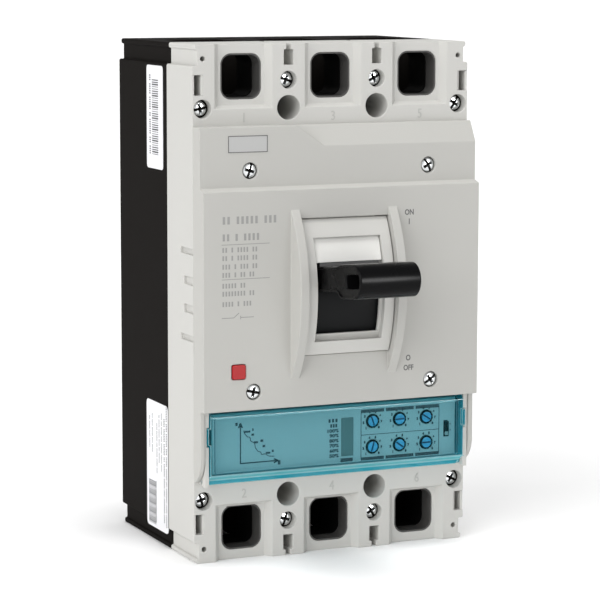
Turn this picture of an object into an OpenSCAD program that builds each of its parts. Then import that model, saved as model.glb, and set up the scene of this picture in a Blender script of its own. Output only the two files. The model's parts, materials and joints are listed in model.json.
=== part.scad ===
// Three-pole moulded case circuit breaker with an electronic trip unit.
// X runs to the right of someone facing the front, the front faces -Y and
// Z is up. The origin is the centre of the flat rear mounting face.

/* [Housing] */
// Distance between neighbouring poles
pole_pitch = 48; // [46:1:50]
// Width added outside the three poles, on each side
side_wall = 3; // [2:0.5:6]
// Height over both terminal ends
housing_h = 257; // [253:1:275]
// Depth of the black base, from the rear face to the cover joint
base_d = 69; // [64:1:72]
// Depth to the terminal face of the middle cover
cover_d = 104; // [100:1:108]
// Length of the narrowed neck at each end
neck_l = 10.5; // [8:0.5:12]
// Set-back of the neck from each side wall
neck_in = 2.5; // [1.5:0.25:3]
// Height of the rim at the very end of the neck
rim_h = 2.7; // [2:0.1:4]
// Set-back of that rim from each side wall
rim_in = 1.25; // [0.5:0.25:1.5]
// Radius of the upright edges of base and cover
edge_r = 1; // [0.5:0.1:1.2]

/* [Terminal ends] */
// Width of a terminal pocket
pocket_w = 29; // [26:0.5:30]
// Length of a terminal pocket, measured in from the end face
pocket_l = 31.5; // [30:0.5:33]
// Depth of the pocket floor above the rear face
pocket_floor = 33; // [28:1:38]
// Width of a terminal window in the cover
window_w = 21.5; // [18:0.5:23]
// Height of a terminal window
window_h = 22.5; // [18:0.5:23]
// Distance of the terminal bolts from the end face
terminal_in = 16; // [15:0.5:17]
// Corner radius of a terminal window
window_r = 5.5; // [3:0.5:7]
// Thickness of the cover's front wall at the windows
window_wall = 8; // [6:0.5:10]
// Thickness of the cover's end wall outside the pockets
end_wall = 2.5; // [1.5:0.25:4]
// Depth of the recessed pad around a window
pad_recess = 3.5; // [2:0.25:4.5]
// Width of the flat floor of that pad
pad_w = 24.6; // [23.5:0.2:26]
// Run of the pad's sloping side walls
pad_slope = 3; // [1.5:0.25:4]
// Run of the slope at the pad's inner end
pad_end_slope = 1.5; // [1:0.25:2]
// Length of the upper pads, from the end face
pad_l_top = 31.5; // [29.5:0.5:32.5]
// Length of the lower pads, from the end face
pad_l_bottom = 28.9; // [27.5:0.2:30.5]
// Width of the terminal bars
terminal_w = 25; // [20:1:25]
// Thickness of the terminal bars
terminal_t = 5; // [3:0.5:6]
// Set-back of the terminal bars' ends from the end face
terminal_end = 1.5; // [1:0.5:4]
// Radius of the bolt hole in a terminal bar
terminal_hole_r = 5.5; // [4.5:0.25:6]
// Depth of the blind hole for the bolt's end, under the bar
bolt_relief_l = 16; // [10:1:20]
// How much wider than the bolt hole that blind hole is, all round
bolt_relief_clear = 0.5; // [0.25:0.25:1]

/* [Fixings] */
// Distance of the fixing screws from the end face
fixing_in = 31.5; // [30.5:0.5:33.5]
// Radius of the wells that the fixing screws go down
well_r = 6.1; // [5.5:0.1:6.5]
// Radius of the fixing holes in the base floor
fixing_hole_r = 3.3; // [2.7:0.1:4]
// Thickness of the base floor under the fixing screws
well_floor = 12; // [8:1:20]
// Distance of the small corner holes from the side wall
corner_side = 5.5; // [5:0.25:6.5]
// Distance of the corner holes from the end face
corner_in = 7.05; // [6:0.25:7.5]
// Radius of the corner holes
corner_r = 1.25; // [1:0.05:1.5]
// Depth of the corner holes
corner_l = 12; // [8:1:20]
// Width of the phase barrier slots
barrier_w = 5.1; // [4.6:0.1:6]
// Length of the wide part of a barrier slot
barrier_l = 7.6; // [6.5:0.2:8]
// Width of the narrow mouth of a barrier slot
barrier_neck = 2.5; // [2:0.1:3.5]
// Distance of the wide part from the end face
barrier_in = 3; // [2.5:0.25:4]
// Depth of the barrier slots above the rear face
barrier_floor = 14; // [8:1:30]

/* [Cover screws] */
// Distance of the middle screws from the end face
mid_screw_in = 17.9; // [17.1:0.2:18.5]
// Radius of the middle screws' recess
mid_recess_r = 4.4; // [4:0.1:4.6]
// Distance of the side screws from the side wall
side_screw_in = 5.45; // [5.3:0.05:6]
// Distance of the side screws from the end face
side_screw_end = 31.4; // [30.8:0.2:32.6]
// Radius of the side screws' recess
side_recess_r = 4.6; // [4:0.1:4.8]
// Depth of the screw recesses
recess_l = 6.5; // [5:0.5:8]
// Radius of the screw heads
head_r = 3.6; // [3:0.1:3.8]
// Height of the screw heads
head_h = 2.8; // [2:0.1:3.2]
// Radius of the screw shanks
shank_r = 2; // [1.5:0.1:2.4]
// Length of the screw shanks
shank_l = 9; // [6:1:14]
// Clearance around the screw shanks
shank_clear = 0.1; // [0.1:0.05:0.3]
// Room left under the end of a shank
shank_spare = 0.5; // [0.5:0.25:2]
// Width of the cross recess arms
cross_w = 1.1; // [0.8:0.1:1.4]
// Length of the cross recess, arm end to arm end
cross_l = 4.4; // [3.4:0.2:5]
// Depth of the cross recess
cross_t = 1.5; // [1:0.1:2]
// Turn of the cross recess in its tightened place, in degrees
cross_turn = 20; // [0:5:85]

/* [Front fascia] */
// Depth to the main front face
fascia_d = 118; // [116:0.5:121]
// Depth to the upper ledge of the fascia
ledge_d = 113.5; // [112:0.5:115]
// Distance of the fascia's upper edge from the end face
fascia_end = 39.9; // [39:0.1:41.5]
// Height of the upper ledge with its slope
ledge_h = 30.9; // [28:0.1:33]
// Height of the sloping step from the main face to the ledge
step_h = 1.4; // [0.5:0.1:2]
// Height of the slope at the fascia's upper edge
slope_h = 10.1; // [8:0.1:11]
// Depth of the sloping part at the fascia's upper edge
slope_d = 107.8; // [106:0.2:110]
// Place of the flat ledge's upper right corner
plateau_x1 = -23.3; // [-26:0.1:-20]
// Place where the corner facet meets the slope's lower edge
plateau_x2 = -9; // [-12:0.1:-6]
// Distance of the fascia screws from the side wall
fascia_screw_in = 26.5; // [22:0.5:30]
// Distance of the upper fascia screws from the fascia's upper edge
fascia_screw_top = 21.4; // [19:0.2:22]
// Distance of the lower fascia screws from the fascia's lower edge
fascia_screw_bottom = 9; // [7:0.5:10]
// Radius of the fascia screws' recess
fascia_recess_r = 4.1; // [3.9:0.1:4.5]
// Depth of the fascia screws' recess
fascia_recess_l = 3.4; // [3:0.1:4.5]
// Length of the fascia screws' shanks
fascia_shank_l = 5; // [3:0.5:6]

/* [Handle] */
// Depth of the handle's pivot
pivot_d = 54.6; // [53:0.2:56]
// Height of the handle's pivot
pivot_z = 5.8; // [5:0.1:7]
// Upward tilt of the handle in its tripped place
handle_rest = 6.4; // [5:0.1:8]
// Turn of the handle from there to off, in degrees
handle_off = -17; // [-17:0.5:-12]
// Turn of the handle from there to on, in degrees
handle_on = 10.5; // [6:0.5:10.5]
// Width of the handle
handle_w = 32.4; // [30:0.2:33]
// Thickness of the handle's stem
stem_t = 12.4; // [11:0.2:13]
// Length of the stem in front of the frame
stem_l = 17.2; // [14:0.2:20]
// Length of the slope from the stem down to the grip
grip_slope = 4; // [2:0.5:6]
// Length of the grip, from the stem to the tip
grip_l = 27.9; // [24:0.1:30]
// Radius of the grip's rounded end, half its thickness
grip_r = 8.4; // [8:0.1:9]
// How far the grip's centre lies below the stem's
grip_drop = 1.2; // [0.5:0.1:1.6]
// Length of the slot through the grip
grip_slot_l = 15.8; // [13:0.2:17]
// Height of the slot through the grip
grip_slot_h = 6.8; // [5:0.2:7.2]
// Wall between that slot and the handle's tip
grip_slot_wall = 2; // [1.8:0.1:3]
// Corner radius of the slot
grip_slot_r = 1.6; // [1:0.1:2.4]
// Radius of the handle's hub
hub_r = 9; // [8:0.5:10]
// Room around the hub
hub_room = 3; // [2:0.5:4]
// Radius of the pivot pin
axle_r = 3; // [2.5:0.1:4]
// Length of the pivot pin
axle_l = 60; // [54:1:66]
// Running clearance of the pin in the hub
axle_clear = 0.05; // [0.02:0.01:0.1]
// Gap between the black shutter and the frame
shutter_gap = 1.2; // [1.1:0.1:1.6]
// Thickness of the black shutter
shutter_t = 1.4; // [1:0.1:2]
// Thickness of the grey plate that slides on the frame's ledge
shutter_plate_t = 1.6; // [1.2:0.1:1.7]
// Clearance of that plate on every side
plate_clear = 0.3; // [0.2:0.05:0.4]
// Width of the shutter
shutter_w = 37.4; // [36:0.2:38]
// Lower end of the shutter, degrees about the pivot
shutter_low = -30; // [-31:1:-29]
// Upper end of the shutter, degrees about the pivot
shutter_high = 42; // [40:1:43]
// Room past the shutter's ends at the handle's limits, in degrees
cavity_spare = 4; // [3:0.5:5]
// Lower end of the grey plate, degrees about the pivot
shutter_plate_low = 13; // [12.5:0.1:13.2]

/* [Handle frame] */
// Outer radius of the frame's arched face about the pivot
frame_r = 72.4; // [72:0.2:74]
// Thickness of the frame's arched wall
frame_t = 5.2; // [4.8:0.1:5.6]
// Depth of the step inside the frame's window
frame_step = 3.4; // [3:0.1:3.8]
// Width of the frame
frame_w = 47.2; // [46:0.2:48]
// Height of the frame below the pivot
frame_below = 30.2; // [29.8:0.1:31.8]
// Height of the frame above the pivot
frame_above = 37; // [36.2:0.1:38.2]
// Width of the frame's window
frame_window_w = 36.2; // [35.6:0.2:37.4]
// Height of the frame's window below the pivot
window_below = 23.3; // [22.3:0.1:23.8]
// Height of the frame's window above the pivot
window_above = 27.9; // [27.7:0.1:28.7]
// Width of the opening inside the step
inner_window_w = 33.8; // [33.4:0.2:34.6]
// Height of the opening inside the step, below the pivot
inner_window_below = 19.9; // [19.6:0.1:20.8]
// Gap between the frame and the fascia around it
frame_gap = 0.5; // [0.3:0.1:0.8]
// Width of the hollow that the handle swings in
cavity_w = 40.4; // [39:0.2:41]
// Radius of the crescents beside the frame
crescent_r = 76; // [75:0.5:78]
// Thickness of the crescents
crescent_t = 4.7; // [4:0.1:5.5]

/* [Trip button] */
// Distance of the button from the left side wall
button_in = 18.4; // [15:0.2:21]
// Distance of the button from the fascia's lower edge
button_up = 19.4; // [17:0.2:22]
// Side of the square button
button_w = 7; // [6:0.2:8]
// Corner radius of the button
button_r = 1; // [0.5:0.1:1.5]
// How far the button stands proud of the face
button_proud = 0.6; // [0.2:0.1:1.5]
// Gap around the button
button_gap = 0.3; // [0.2:0.05:0.5]
// How far the button can be pressed
button_travel = 2; // [1:0.25:3]
// Room left behind the pressed button
button_room = 3.6; // [2:0.2:5]

/* [Trip unit] */
// Distance of the trip unit's lower edge from the end face
trip_end = 39.7; // [39:0.1:40.5]
// Height of the trip unit
trip_h = 38.5; // [37.5:0.1:39.5]
// Depth to the panel that carries the dials
panel_d = 108.6; // [107.6:0.1:109]
// Thickness of the flange that joins the panel to its side walls
flange_t = 1; // [0.8:0.1:1.2]
// Depth to the clear cover's front
lens_d = 113.5; // [112.5:0.1:114]
// Wall of the clear cover
lens_t = 1.8; // [1.4:0.1:2]
// Height of the clear cover's lower bevel
bevel_h = 6; // [5:0.2:7]
// Height of the clear cover's upper bevel
top_bevel_h = 3; // [2:0.1:3.6]
// Depth of the clear cover's upper bevel
top_bevel_t = 2.4; // [1.5:0.1:3]
// Gap around the clear cover
lens_gap = 0.4; // [0.3:0.05:0.6]
// Depth of the clear cover's hinge line
hinge_d = 107.6; // [107.2:0.1:108]
// Height of that hinge line above the trip unit's lower edge
hinge_up = 2.4; // [2.2:0.1:2.8]
// Depth to the clear cover's rear edge
lens_back = 105.4; // [105.2:0.1:106]
// Radius of the hinge pins
hinge_r = 1.2; // [1:0.05:1.4]
// Length of the hinge pins
hinge_l = 1.9; // [1.5:0.1:2.1]
// How far the hinge pins are rooted in the clear cover
hinge_root = 0.5; // [0.3:0.1:1]
// How far the snap tabs stand out at the clear cover's sides
tab_out = 1.2; // [0.8:0.1:1.4]
// Height of the snap tabs
tab_h = 8.3; // [7:0.1:9.5]
// Distance of the snap tabs from the fascia's lower edge
tab_down = 8.7; // [7:0.1:10]
// Thickness of the snap tabs, from the clear cover's front
tab_t = 3.1; // [2.5:0.1:3.5]
// Room below a snap tab in its notch
tab_room = 1; // [0.8:0.1:1.4]
// Thickness of the panel's side walls
trip_wall = 2.3; // [2:0.1:2.6]
// Depth to the front of the side walls
trip_wall_d = 112.4; // [111:0.2:113]
// Rise of the side walls' lower end from their front to the middle cover
wall_rise = 1.2; // [0.4:0.2:1.4]
// Thickness of the outer cheeks
cheek_t = 2.3; // [2:0.1:2.5]
// Slit between the outer cheeks and the trip unit
cheek_gap = 0.3; // [0.2:0.05:0.5]
// Radius of the curved end of the outer cheeks
cheek_r = 14; // [12:0.5:15]
// Height of the cheeks' end above the trip unit's lower edge
cheek_up = 0.8; // [0:0.2:2]
// Distance of the first dial column from the right side wall
dial_in = 54.5; // [53:0.1:57]
// Distance between dial columns
dial_pitch_x = 15.2; // [14:0.1:15.6]
// Distance of the upper dial row from the fascia's lower edge
dial_down = 12; // [10.7:0.1:12.7]
// Distance between dial rows
dial_pitch_z = 13.2; // [12:0.1:14]
// Radius of a dial knob
dial_r = 3.6; // [3:0.1:4]
// Length of a dial knob
dial_l = 4; // [3:0.25:4.5]
// How far a dial stands proud of the panel
dial_proud = 1.6; // [0.8:0.1:2]
// Running clearance of a dial in its seat
dial_clear = 0.06; // [0.03:0.01:0.1]
// Width of the screwdriver slot in a dial
dial_slot_w = 0.9; // [0.6:0.1:1.2]
// Length of that slot
dial_slot_l = 5.8; // [4.5:0.1:6]
// Depth of that slot
dial_slot_t = 1.3; // [0.8:0.1:1.5]
// Turn of each dial against the one before it, in degrees
dial_turn = 35; // [0:5:60]
// Distance of the display's centre from the right side wall
display_in = 68.5; // [67:0.1:70]
// Distance of the display's centre from the fascia's lower edge
display_down = 19.1; // [18:0.1:20]
// Width of the display
display_w = 6.6; // [5:0.2:8]
// Height of the display
display_h = 19.6; // [16:0.2:22]
// How far the display stands proud of the panel
display_proud = 0.2; // [0.1:0.1:0.6]
// Distance of the test socket's centre from the right side wall
socket_in = 12.6; // [11:0.1:14]
// Width of the test socket
socket_w = 2.8; // [2.2:0.1:3.4]
// Height of the test socket
socket_h = 7.8; // [6:0.2:9]
// How far the test socket stands proud of the panel
socket_proud = 0.4; // [0.1:0.1:0.6]
// Depth of the seats of the display and the test socket
inlay_t = 1.2; // [0.8:0.1:1.6]

/* [Side details] */
// Width of the side slots beside the outer terminals
side_slot_w = 3.3; // [2.6:0.1:3.6]
// Height of those slots
side_slot_h = 9.9; // [8:0.1:10.4]
// Distance of the slots from the side wall
side_slot_in = 1.3; // [1:0.1:1.6]
// Distance of those slots from the end face
side_slot_end = 14.9; // [14:0.1:15.5]
// Depth of those slots
side_slot_l = 24; // [12:1:30]
// Width of the rebate around those slots, open at the side wall
rebate_w = 5.5; // [5:0.1:6]
// Depth of that rebate
rebate_t = 0.5; // [0.3:0.1:0.8]
// Depth of the latch windows in the side walls
latch_t = 1.6; // [1:0.1:2]
// Height of the two inner latch windows
latch_h = 4; // [3:0.25:5]
// Length of the two inner latch windows
latch_l = 12; // [9:0.5:14]
// Distance of the inner latch windows from the handle's level
latch_z = 7; // [6:0.5:9]
// Height of the two outer latch windows
groove_h = 2.9; // [2:0.1:4]
// Length of the two outer latch windows
groove_l = 16.5; // [12:0.5:18]
// Distance of the outer latch windows from the handle's level
groove_z = 21.5; // [18:0.5:26]

/* [Hidden] */
$fn = 64;
// Facets of the large arcs about the handle's pivot
arc_fn = 180;
// Overshoot that makes a cut pass cleanly through a face
eps = 1;
housing_w = 3 * pole_pitch + 2 * side_wall;
half_w = housing_w / 2;
half_h = housing_h / 2;

// Places near the end faces
terminal_z = half_h - terminal_in;
corner_x = half_w - corner_side;
corner_z = half_h - corner_in;
barrier_z = half_h - barrier_in - barrier_l;
pocket_z = half_h - pocket_l;
fixing_x = pole_pitch / 2;
fixing_z = half_h - fixing_in;
mid_screw_z = half_h - mid_screw_in;
side_screw_x = half_w - side_screw_in;
side_screw_z = half_h - side_screw_end;
side_slot_z = half_h - side_slot_end - side_slot_h;
pad_d = cover_d - pad_recess;
window_back = pad_d - window_wall;
terminal_d = pocket_floor + terminal_t;

// Places on the front
fascia_z1 = half_h - fascia_end;
slope_z = fascia_z1 - slope_h;
step_z = fascia_z1 - ledge_h;
trip_z0 = -half_h + trip_end;
fascia_z0 = trip_z0 + trip_h;
fascia_screw_x = half_w - fascia_screw_in;
button_x = -half_w + button_in;
button_z = fascia_z0 + button_up;

// Handle and frame
cavity_r = frame_r - frame_t;
ledge_r = frame_r - frame_step;
shutter_r = cavity_r - shutter_gap;
plate_r = ledge_r + plate_clear;
grip_start = frame_r + stem_l;
handle_reach = grip_start + grip_l;
frame_z0 = pivot_z - frame_below;
frame_z1 = pivot_z + frame_above;

// Trip unit
panel_w = 2 * (half_w - cheek_t - cheek_gap);
lens_w = panel_w - 2 * (trip_wall + lens_gap);
hinge_z = trip_z0 + hinge_up;
dial_x = half_w - dial_in;
dial_z = fascia_z0 - dial_down;
display_x = half_w - display_in;
display_z = fascia_z0 - display_down;
socket_x = half_w - socket_in;
grey = [0.80, 0.80, 0.78];
black = [0.13, 0.12, 0.12];
zinc = [0.75, 0.76, 0.78];

// A box from ranges of X, depth and height
module block(x, d, z) {
    translate([x[0], -d[1], z[0]]) cube([x[1] - x[0], d[1] - d[0], z[1] - z[0]]);
}

// A plan drawn in X and Z, between two depths
module layer(d0, d1) {
    translate([0, -d0, 0]) rotate([90, 0, 0]) linear_extrude(d1 - d0) children();
}

// A profile drawn in depth and height, between two places along X
module across(x0, x1) {
    translate([x1, 0, 0]) rotate([90, 0, -90]) linear_extrude(x1 - x0) children();
}

// A round bar or hole along the depth
module round_bar(x, z, r, d0, d1) {
    translate([x, -d0, z]) rotate([90, 0, 0]) cylinder(r = r, h = d1 - d0);
}

// A rectangle with round corners, centred
module round_rect(w, h, r) {
    square([w, h - 2 * r], center = true);
    square([w - 2 * r, h], center = true);
    for (sx = [-1, 1], sy = [-1, 1])
        translate([sx * (w / 2 - r), sy * (h / 2 - r)]) circle(r = r);
}

// The housing's plan: full width, narrower necks and a rim at each end
module plan() {
    round_rect(housing_w, housing_h - 2 * neck_l, edge_r);
    square([housing_w - 2 * neck_in, housing_h - rim_h], center = true);
    for (s = [-1, 1])
        translate([0, s * (half_h - rim_h / 2)])
            round_rect(housing_w - 2 * rim_in, rim_h, edge_r);
}

// Repeats its children at both ends of all three poles
module each_pole() {
    for (p = [-1, 0, 1], s = [-1, 1]) translate([p * pole_pitch, 0, 0]) at_end(s) children();
}

// Turns a piece of the upper end into one of the lower end
module at_end(s) {
    mirror([0, 0, s < 0 ? 1 : 0]) children();
}

// Repeats its children on both sides and at both ends
module four_ways() {
    for (sx = [-1, 1], sz = [-1, 1])
        mirror([sx < 0 ? 1 : 0, 0, 0]) mirror([0, 0, sz < 0 ? 1 : 0]) children();
}

// The slot that a phase barrier slides into
module barrier_slot() {
    x = pole_pitch / 2;
    block([x - barrier_w / 2, x + barrier_w / 2], [barrier_floor, cover_d + eps],
        [barrier_z, barrier_z + barrier_l]);
    block([x - barrier_neck / 2, x + barrier_neck / 2], [barrier_floor, cover_d + eps],
        [barrier_z + barrier_l - eps, half_h + eps]);
}

// A sector of a circle about the handle's pivot, between two angles
module sector(r, a0, a1) {
    intersection() {
        circle(r = r, $fn = arc_fn);
        polygon([[0, 0], for (a = [a0, (a0 + a1) / 2, a1]) 2 * r * [cos(a), sin(a)]]);
    }
}

// The hollow that the handle swings in, as a profile about the pivot
module cavity_profile() {
    translate([pivot_d, pivot_z]) {
        circle(r = hub_r + hub_room);
        sector(cavity_r, shutter_low + handle_off - cavity_spare,
            shutter_high + handle_on + cavity_spare);
    }
}

module handle_cavity() {
    across(-cavity_w / 2, cavity_w / 2) cavity_profile();
}

// The channel above the window that the grey plate slides up into
module plate_channel() {
    across(-frame_window_w / 2, frame_window_w / 2) translate([pivot_d, pivot_z])
        difference() {
            sector(plate_r + shutter_plate_t + plate_clear, asin(window_above / frame_r),
                shutter_high + handle_on + cavity_spare);
            circle(r = ledge_r, $fn = arc_fn);
        }
}

// Black rear half of the housing, with terminal pockets and fixing holes
module base_housing() {
    color(black) difference() {
        layer(0, base_d) plan();
        each_pole() {
            block([-pocket_w / 2, pocket_w / 2], [pocket_floor, base_d + eps],
                [pocket_z, half_h + eps]);
            round_bar(0, terminal_z, terminal_hole_r + bolt_relief_clear,
                pocket_floor - bolt_relief_l, base_d);
        }
        four_ways() {
            barrier_slot();
            round_bar(fixing_x, fixing_z, well_r, well_floor, base_d + eps);
            round_bar(fixing_x, fixing_z, fixing_hole_r, -eps, base_d);
        }
        handle_cavity();
        translate([-axle_l / 2, -pivot_d, pivot_z]) rotate([0, 90, 0])
            cylinder(r = axle_r, h = axle_l);
    }
}

// The recessed pad around one window: a sloped trough open at the end face
module window_pad(length) {
    start = half_h - length;
    reach = (pad_recess + eps) / pad_recess;
    top_w = pad_w + 2 * pad_slope * reach;
    intersection() {
        translate([0, 0, start - eps]) linear_extrude(length + 2 * eps)
            polygon([[-pad_w / 2, -pad_d], [pad_w / 2, -pad_d],
                [top_w / 2, -cover_d - eps], [-top_w / 2, -cover_d - eps]]);
        across(-pole_pitch / 2, pole_pitch / 2)
            polygon([[pad_d, start + pad_end_slope],
                [cover_d + eps, start + pad_end_slope * (1 - reach)],
                [cover_d + eps, half_h + eps], [pad_d, half_h + eps]]);
    }
}

// Grey middle cover with terminal windows, wells and screw recesses
module mid_cover() {
    color(grey) difference() {
        layer(base_d, cover_d) plan();
        each_pole() {
            block([-pocket_w / 2, pocket_w / 2], [base_d - eps, window_back],
                [pocket_z, half_h - end_wall]);
            translate([0, 0, terminal_z]) layer(base_d, cover_d + eps)
                round_rect(window_w, window_h, window_r);
        }
        for (p = [-1, 0, 1]) translate([p * pole_pitch, 0, 0]) {
            window_pad(pad_l_top);
            mirror([0, 0, 1]) window_pad(pad_l_bottom);
        }
        four_ways() {
            barrier_slot();
            round_bar(fixing_x, fixing_z, well_r, base_d - eps, cover_d + eps);
            screw_seat(fixing_x, mid_screw_z, mid_recess_r, cover_d, recess_l);
            screw_seat(side_screw_x, side_screw_z, side_recess_r, cover_d, recess_l);
            round_bar(corner_x, corner_z, corner_r, cover_d - corner_l, cover_d + eps);
            block([half_w - side_slot_in - side_slot_w, half_w - side_slot_in],
                [cover_d - side_slot_l, cover_d + eps],
                [side_slot_z, side_slot_z + side_slot_h]);
            block([half_w - rebate_w, half_w + eps], [cover_d - rebate_t, cover_d + eps],
                [side_slot_z, side_slot_z + side_slot_h]);
        }
        handle_cavity();
        plate_channel();
        for (sx = [-1, 1], sz = [-1, 1]) {
            latch_window(sx, pivot_z + sz * latch_z, latch_h, latch_l);
            latch_window(sx, pivot_z + sz * groove_z, groove_h, groove_l);
        }
    }
}

// A shallow window in a side wall, open towards the fascia joint
module latch_window(side, z, h, l) {
    x = side * half_w;
    block([x - latch_t, x + latch_t], [cover_d - l, cover_d + eps], [z - h / 2, z + h / 2]);
}

// A recess for a screw's head with the hole for its shank
module screw_seat(x, z, r, face, depth, shank = shank_l) {
    round_bar(x, z, r, face - depth, face + eps);
    round_bar(x, z, shank_r + shank_clear, face - depth - shank - shank_spare, face);
}

// A cross-recessed pan head screw that sits on the floor of its recess
module screw(x, z, face, depth, shank = shank_l) {
    seat = face - depth;
    color(zinc) difference() {
        union() {
            round_bar(x, z, head_r, seat, seat + head_h);
            round_bar(x, z, shank_r, seat - shank, seat + eps);
        }
        for (a = [cross_turn, cross_turn + 90])
            translate([x, -seat - head_h, z]) rotate([0, a, 0])
                cube([cross_l, 2 * cross_t, cross_w], center = true);
    }
}

// The fascia's outline in depth and height, with or without the slope
module fascia_profile(sloped) {
    polygon([[cover_d, fascia_z0], [fascia_d, fascia_z0], [fascia_d, step_z],
        [ledge_d, step_z + step_h], [ledge_d, slope_z],
        [sloped ? slope_d : ledge_d, fascia_z1], [cover_d, fascia_z1]]);
}

// An outer cheek in depth and height, with its curved lower end
module cheek_profile() {
    centre_z = trip_z0 + cheek_up + cheek_r;
    intersection() {
        union() {
            translate([ledge_d - cheek_r, centre_z]) circle(r = cheek_r, $fn = arc_fn);
            translate([0, centre_z]) square([ledge_d, fascia_z0 + eps - centre_z]);
        }
        translate([cover_d, trip_z0]) square([ledge_d - cover_d, trip_h + eps]);
    }
}

// Grey front lid: main face, upper ledge, crescents and the outer cheeks
module front_fascia() {
    color(grey) difference() {
        union() {
            across(-half_w, half_w) fascia_profile(true);
            // flat ledge with a diagonal facet at its right-hand end
            intersection() {
                across(-half_w, half_w) fascia_profile(false);
                layer(cover_d, fascia_d) polygon([[-half_w, slope_z - eps],
                    [plateau_x2, slope_z - eps], [plateau_x2, slope_z],
                    [plateau_x1, fascia_z1], [-half_w, fascia_z1]]);
            }
            for (side = [-1, 1]) {
                crescent(side);
                outer_cheek(side);
            }
        }
        block([-frame_w / 2 - frame_gap, frame_w / 2 + frame_gap],
            [cover_d - eps, fascia_d + eps], [frame_z0 - frame_gap, frame_z1 + frame_gap]);
        handle_cavity();
        plate_channel();
        translate([button_x, 0, button_z]) layer(cover_d - eps, fascia_d + eps)
            round_rect(button_w + 2 * button_gap, button_w + 2 * button_gap, button_r);
        for (sx = [-1, 1], sz = [-1, 1])
            screw_seat(sx * fascia_screw_x, fascia_screw_z(sz), fascia_recess_r,
                fascia_screw_face(sz), fascia_recess_l, fascia_shank_l);
    }
}

// Height of the upper (1) or lower (-1) fascia screws, and the face they sink into
function fascia_screw_z(sz) =
    sz > 0 ? fascia_z1 - fascia_screw_top : fascia_z0 + fascia_screw_bottom;
function fascia_screw_face(sz) = sz > 0 ? ledge_d : fascia_d;

// One of the two crescent ribs beside the handle's frame
module crescent(side) {
    inner = frame_w / 2 + frame_gap;
    x0 = side < 0 ? -inner - crescent_t : inner;
    across(x0, x0 + crescent_t) intersection() {
        translate([pivot_d, pivot_z]) circle(r = crescent_r, $fn = arc_fn);
        translate([fascia_d - eps, pivot_z - crescent_r])
            square([crescent_r, 2 * crescent_r]);
    }
}

module outer_cheek(side) {
    x0 = side < 0 ? -half_w : half_w - cheek_t;
    across(x0, x0 + cheek_t) cheek_profile();
}

// Arched frame around the handle, standing on the middle cover
module handle_frame() {
    color(grey) difference() {
        across(-frame_w / 2, frame_w / 2) intersection() {
            translate([pivot_d, pivot_z]) circle(r = frame_r, $fn = arc_fn);
            translate([cover_d, frame_z0]) square([frame_r, frame_z1 - frame_z0]);
        }
        handle_cavity();
        plate_channel();
        across(-frame_window_w / 2, frame_window_w / 2) difference() {
            translate([cover_d, pivot_z - window_below])
                square([frame_r, window_below + window_above]);
            translate([pivot_d, pivot_z]) circle(r = ledge_r, $fn = arc_fn);
        }
        block([-inner_window_w / 2, inner_window_w / 2], [cover_d, pivot_d + frame_r + eps],
            [pivot_z - inner_window_below, pivot_z + window_above]);
    }
}

// Turns a profile about the handle's pivot to its place at rest
module at_pivot() {
    translate([pivot_d, pivot_z]) rotate(handle_rest) children();
}

// Side view of the handle: hub, stem and a round-ended grip that steps down
module handle_profile() {
    grip_centre = handle_reach - grip_r;
    slot_end = handle_reach - grip_slot_wall;
    at_pivot() difference() {
        union() {
            circle(r = hub_r);
            translate([0, -stem_t / 2]) square([grip_centre, stem_t]);
            polygon([[grip_start, -stem_t / 2], [grip_start + grip_slope, -grip_drop - grip_r],
                [grip_centre, -grip_drop - grip_r], [grip_centre, -grip_drop + grip_r],
                [grip_start, stem_t / 2]]);
            translate([grip_centre, -grip_drop]) circle(r = grip_r, $fn = arc_fn);
            // shoulder on the stem that carries the grey plate
            difference() {
                sector(plate_r + shutter_plate_t, 0, shutter_plate_low - handle_rest);
                circle(r = shutter_r, $fn = arc_fn);
            }
        }
        circle(r = axle_r + axle_clear);
        translate([slot_end - grip_slot_l / 2, -grip_drop])
            round_rect(grip_slot_l, grip_slot_h, grip_slot_r);
    }
}

module handle_lever() {
    color([0.12, 0.12, 0.13]) across(-handle_w / 2, handle_w / 2) handle_profile();
}

// A curved strip about the pivot: its width, two radii and two angles
module arc_strip(w, r0, r1, a0, a1) {
    across(-w / 2, w / 2) translate([pivot_d, pivot_z]) difference() {
        sector(r1, a0, a1);
        circle(r = r0, $fn = arc_fn);
    }
}

// Black shutter that closes the window around the stem in every position
module handle_shutter() {
    color(black) difference() {
        arc_strip(shutter_w, shutter_r - shutter_t, shutter_r, shutter_low, shutter_high);
        across(-handle_w / 2, handle_w / 2) at_pivot()
            translate([0, -stem_t / 2]) square([handle_reach, stem_t]);
    }
}

// Light grey plate on the handle's shoulder, which slides up under the frame
module shutter_plate() {
    color(grey) arc_strip(frame_window_w - 2 * plate_clear, plate_r, plate_r + shutter_plate_t,
        shutter_plate_low, shutter_high);
}

// Steel pin that the handle turns on
module handle_axle() {
    color(zinc) translate([-axle_l / 2, -pivot_d, pivot_z]) rotate([0, 90, 0])
        cylinder(r = axle_r, h = axle_l);
}

// Red push button that trips the breaker by hand
module trip_button() {
    color([0.70, 0.13, 0.15]) translate([button_x, 0, button_z])
        layer(cover_d + button_room + button_travel, fascia_d + button_proud)
            round_rect(button_w, button_w, button_r);
}

function dial_place(i) = [dial_x + (i % 3) * dial_pitch_x, dial_z - floor(i / 3) * dial_pitch_z];

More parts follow.
